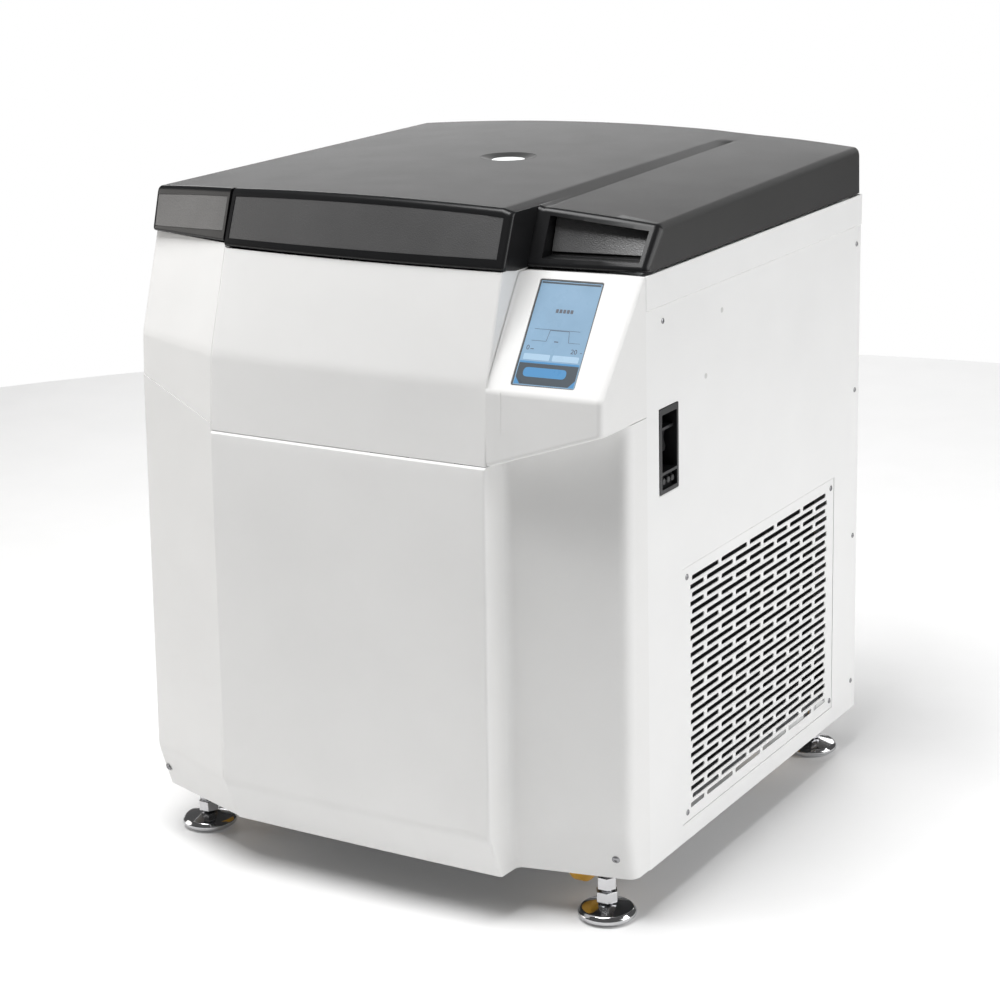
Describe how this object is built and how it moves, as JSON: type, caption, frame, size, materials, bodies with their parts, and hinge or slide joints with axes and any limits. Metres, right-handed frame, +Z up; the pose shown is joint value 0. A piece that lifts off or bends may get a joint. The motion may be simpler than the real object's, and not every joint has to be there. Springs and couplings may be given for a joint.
{
  "type": "laboratory centrifuge",
  "caption": "Floor-standing refrigerated centrifuge: white cabinet on castors, crowned dark lid with spy hole, sloping touch console, swing-out rotor in a steel chamber.",
  "frame": {"origin": "on the floor, under the middle of the machine's bounding box", "axes": "+Z up, +X to the operator's right, the front with its console faces -Y"},
  "size_m": [0.81, 0.9056, 1.0185],
  "materials": {
    "white_paint": "satin white enamel",
    "light_moulding": "satin light grey-white moulding",
    "dark_plastic": "fine-grained charcoal moulding",
    "grained_plastic": "grained dark grey moulding",
    "black_plastic": "smooth black",
    "screen": "glossy lit screen",
    "clear_glass": "polished",
    "rubber": "matt",
    "stainless": "brushed",
    "chrome": "polished plating",
    "zinc_steel": "zinc plated",
    "cast_iron": "painted casting",
    "motor_paint": "dark enamel",
    "aluminium": "machined",
    "yellow_tread": "amber tread"
  },
  "bodies": {
    "root": {"right_side_panel": "white_paint", "left_side_panel": "white_paint", "air_grille": "white_paint", "rear_panel": "white_paint", "upper_belt": "white_paint", "front_upper_cover": "white_paint", "wing_upper_cover": "white_paint", "console_housing": "white_paint", "top_deck": "white_paint", "front_lower_cover": "light_moulding", "wing_lower_cover": "light_moulding", "mains_inlet": "black_plastic", "switch_housing": "black_plastic", "display_bezel": "black_plastic", "display_screen": "screen", "lid_gasket": "rubber", "chamber_bowl": "stainless", "base_plate": "zinc_steel", "electronics_box": "zinc_steel", "hinge_bracket_left": "zinc_steel", "hinge_bracket_right": "zinc_steel", "containment_drum": "cast_iron", "lid_lock_housing": "cast_iron", "drive_motor": "motor_paint", "compressor": "motor_paint", "condenser_coil": "aluminium"},
    "lid": {"lid_shell": "dark_plastic", "lid_fascia_center": "grained_plastic", "lid_fascia_left": "grained_plastic", "lid_handle_insert": "grained_plastic", "lid_liner": "aluminium", "spy_window_ring": "dark_plastic", "spy_window_glass": "clear_glass", "hinge_arm_left": "zinc_steel", "hinge_arm_right": "zinc_steel", "lid_striker": "zinc_steel"},
    "rotor": {"rotor_body": "aluminium", "drive_spindle": "stainless"},
    "castor_fork_front_left": {"castor_fork_front_left": "zinc_steel"},
    "castor_fork_front_right": {"castor_fork_front_right": "zinc_steel"},
    "castor_wheel_front_left": {"castor_wheel_front_left": "yellow_tread"},
    "castor_wheel_front_right": {"castor_wheel_front_right": "yellow_tread"},
    "castor_wheel_rear_left": {"castor_wheel_rear_left": "yellow_tread"},
    "castor_wheel_rear_right": {"castor_wheel_rear_right": "yellow_tread"},
    "condenser_fan": {"condenser_fan": "black_plastic"},
    "levelling_foot_front_left": {"levelling_foot_front_left": "chrome"},
    "levelling_foot_front_right": {"levelling_foot_front_right": "chrome"},
    "levelling_foot_rear_left": {"levelling_foot_rear_left": "chrome"},
    "levelling_foot_rear_right": {"levelling_foot_rear_right": "chrome"},
    "lid_lock_bolt": {"lid_lock_bolt": "stainless"},
    "rotor_lock_knob": {"rotor_lock_knob": "black_plastic"},
    "strut_cylinder_left": {"strut_cylinder_left": "black_plastic"},
    "strut_cylinder_right": {"strut_cylinder_right": "black_plastic"},
    "strut_rod_left": {"strut_rod_left": "chrome"},
    "strut_rod_right": {"strut_rod_right": "chrome"},
    "swing_bucket_1": {"swing_bucket_1": "stainless"},
    "swing_bucket_2": {"swing_bucket_2": "stainless"},
    "swing_bucket_3": {"swing_bucket_3": "stainless"},
    "swing_bucket_4": {"swing_bucket_4": "stainless"},
    "switch_lever": {"switch_lever": "black_plastic"}
  },
  "joints": [
    {"name": "lid_hinge", "type": "hinge", "parent": "root", "child": "lid", "pos_m": [0, 0.4478, 0.917], "axis": [-1, 0, 0], "range_deg": [0, 65]},
    {"name": "strut_left_pivot", "type": "hinge", "parent": "root", "child": "strut_cylinder_left", "pos_m": [-0.34, 0.38, 0.76], "axis": [-1, 0, 0], "range_deg": [0, 30]},
    {"name": "strut_left_stroke", "type": "slide", "parent": "strut_cylinder_left", "child": "strut_rod_left", "axis": [0, -0.4831, 0.8756], "range_m": [0, 0.13]},
    {"name": "strut_right_pivot", "type": "hinge", "parent": "root", "child": "strut_cylinder_right", "pos_m": [0.34, 0.38, 0.76], "axis": [-1, 0, 0], "range_deg": [0, 30]},
    {"name": "strut_right_stroke", "type": "slide", "parent": "strut_cylinder_right", "child": "strut_rod_right", "axis": [0, -0.4831, 0.8756], "range_m": [0, 0.13]},
    {"name": "rotor_spin", "type": "hinge", "parent": "root", "child": "rotor", "pos_m": [0, 0.033, 0.79], "axis": [0, 0, 1], "continuous": true},
    {"name": "rotor_knob_turn", "type": "hinge", "parent": "rotor", "child": "rotor_lock_knob", "pos_m": [0, 0.033, 0.83], "axis": [0, 0, 1], "range_deg": [0, 90]},
    {"name": "bucket_1_swing", "type": "hinge", "parent": "rotor", "child": "swing_bucket_1", "pos_m": [0.14, 0.033, 0.79], "axis": [0, -1, 0], "range_deg": [0, 90]},
    {"name": "bucket_2_swing", "type": "hinge", "parent": "rotor", "child": "swing_bucket_2", "pos_m": [0, 0.173, 0.79], "axis": [1, 0, 0], "range_deg": [0, 90]},
    {"name": "bucket_3_swing", "type": "hinge", "parent": "rotor", "child": "swing_bucket_3", "pos_m": [-0.14, 0.033, 0.79], "axis": [0, 1, 0], "range_deg": [0, 90]},
    {"name": "bucket_4_swing", "type": "hinge", "parent": "rotor", "child": "swing_bucket_4", "pos_m": [0, -0.107, 0.79], "axis": [-1, 0, 0], "range_deg": [0, 90]},
    {"name": "castor_swivel_front_left", "type": "hinge", "parent": "root", "child": "castor_fork_front_left", "pos_m": [-0.295, -0.258, 0.116], "axis": [0, 0, 1], "continuous": true},
    {"name": "castor_roll_front_left", "type": "hinge", "parent": "castor_fork_front_left", "child": "castor_wheel_front_left", "pos_m": [-0.295, -0.288, 0.066], "axis": [1, 0, 0], "continuous": true},
    {"name": "castor_roll_rear_left", "type": "hinge", "parent": "root", "child": "castor_wheel_rear_left", "pos_m": [-0.295, 0.3, 0.066], "axis": [1, 0, 0], "continuous": true},
    {"name": "castor_swivel_front_right", "type": "hinge", "parent": "root", "child": "castor_fork_front_right", "pos_m": [0.295, -0.258, 0.116], "axis": [0, 0, 1], "continuous": true},
    {"name": "castor_roll_front_right", "type": "hinge", "parent": "castor_fork_front_right", "child": "castor_wheel_front_right", "pos_m": [0.295, -0.288, 0.066], "axis": [1, 0, 0], "continuous": true},
    {"name": "castor_roll_rear_right", "type": "hinge", "parent": "root", "child": "castor_wheel_rear_right", "pos_m": [0.295, 0.3, 0.066], "axis": [1, 0, 0], "continuous": true},
    {"name": "levelling_front_left", "type": "slide", "parent": "root", "child": "levelling_foot_front_left", "axis": [0, 0, 1], "range_m": [0, 0.02]},
    {"name": "levelling_front_right", "type": "slide", "parent": "root", "child": "levelling_foot_front_right", "axis": [0, 0, 1], "range_m": [0, 0.02]},
    {"name": "levelling_rear_left", "type": "slide", "parent": "root", "child": "levelling_foot_rear_left", "axis": [0, 0, 1], "range_m": [0, 0.02]},
    {"name": "levelling_rear_right", "type": "slide", "parent": "root", "child": "levelling_foot_rear_right", "axis": [0, 0, 1], "range_m": [0, 0.02]},
    {"name": "fan_spin", "type": "hinge", "parent": "root", "child": "condenser_fan", "pos_m": [0.324, 0.075, 0.304], "axis": [1, 0, 0], "continuous": true},
    {"name": "switch_throw", "type": "hinge", "parent": "root", "child": "switch_lever", "pos_m": [0.38, -0.229, 0.672], "axis": [0, 1, 0], "range_deg": [0, 25]},
    {"name": "lock_bolt_throw", "type": "slide", "parent": "root", "child": "lid_lock_bolt", "axis": [1, 0, 0], "range_m": [0, 0.022]}
  ],
  "couplings": [
    {"joint": "strut_left_pivot", "follows": "lid_hinge", "ratio": 0.4223},
    {"joint": "strut_left_stroke", "follows": "lid_hinge", "m_per_rad": 0.1116},
    {"joint": "strut_right_pivot", "follows": "lid_hinge", "ratio": 0.4223},
    {"joint": "strut_right_stroke", "follows": "lid_hinge", "m_per_rad": 0.1116}
  ]
}
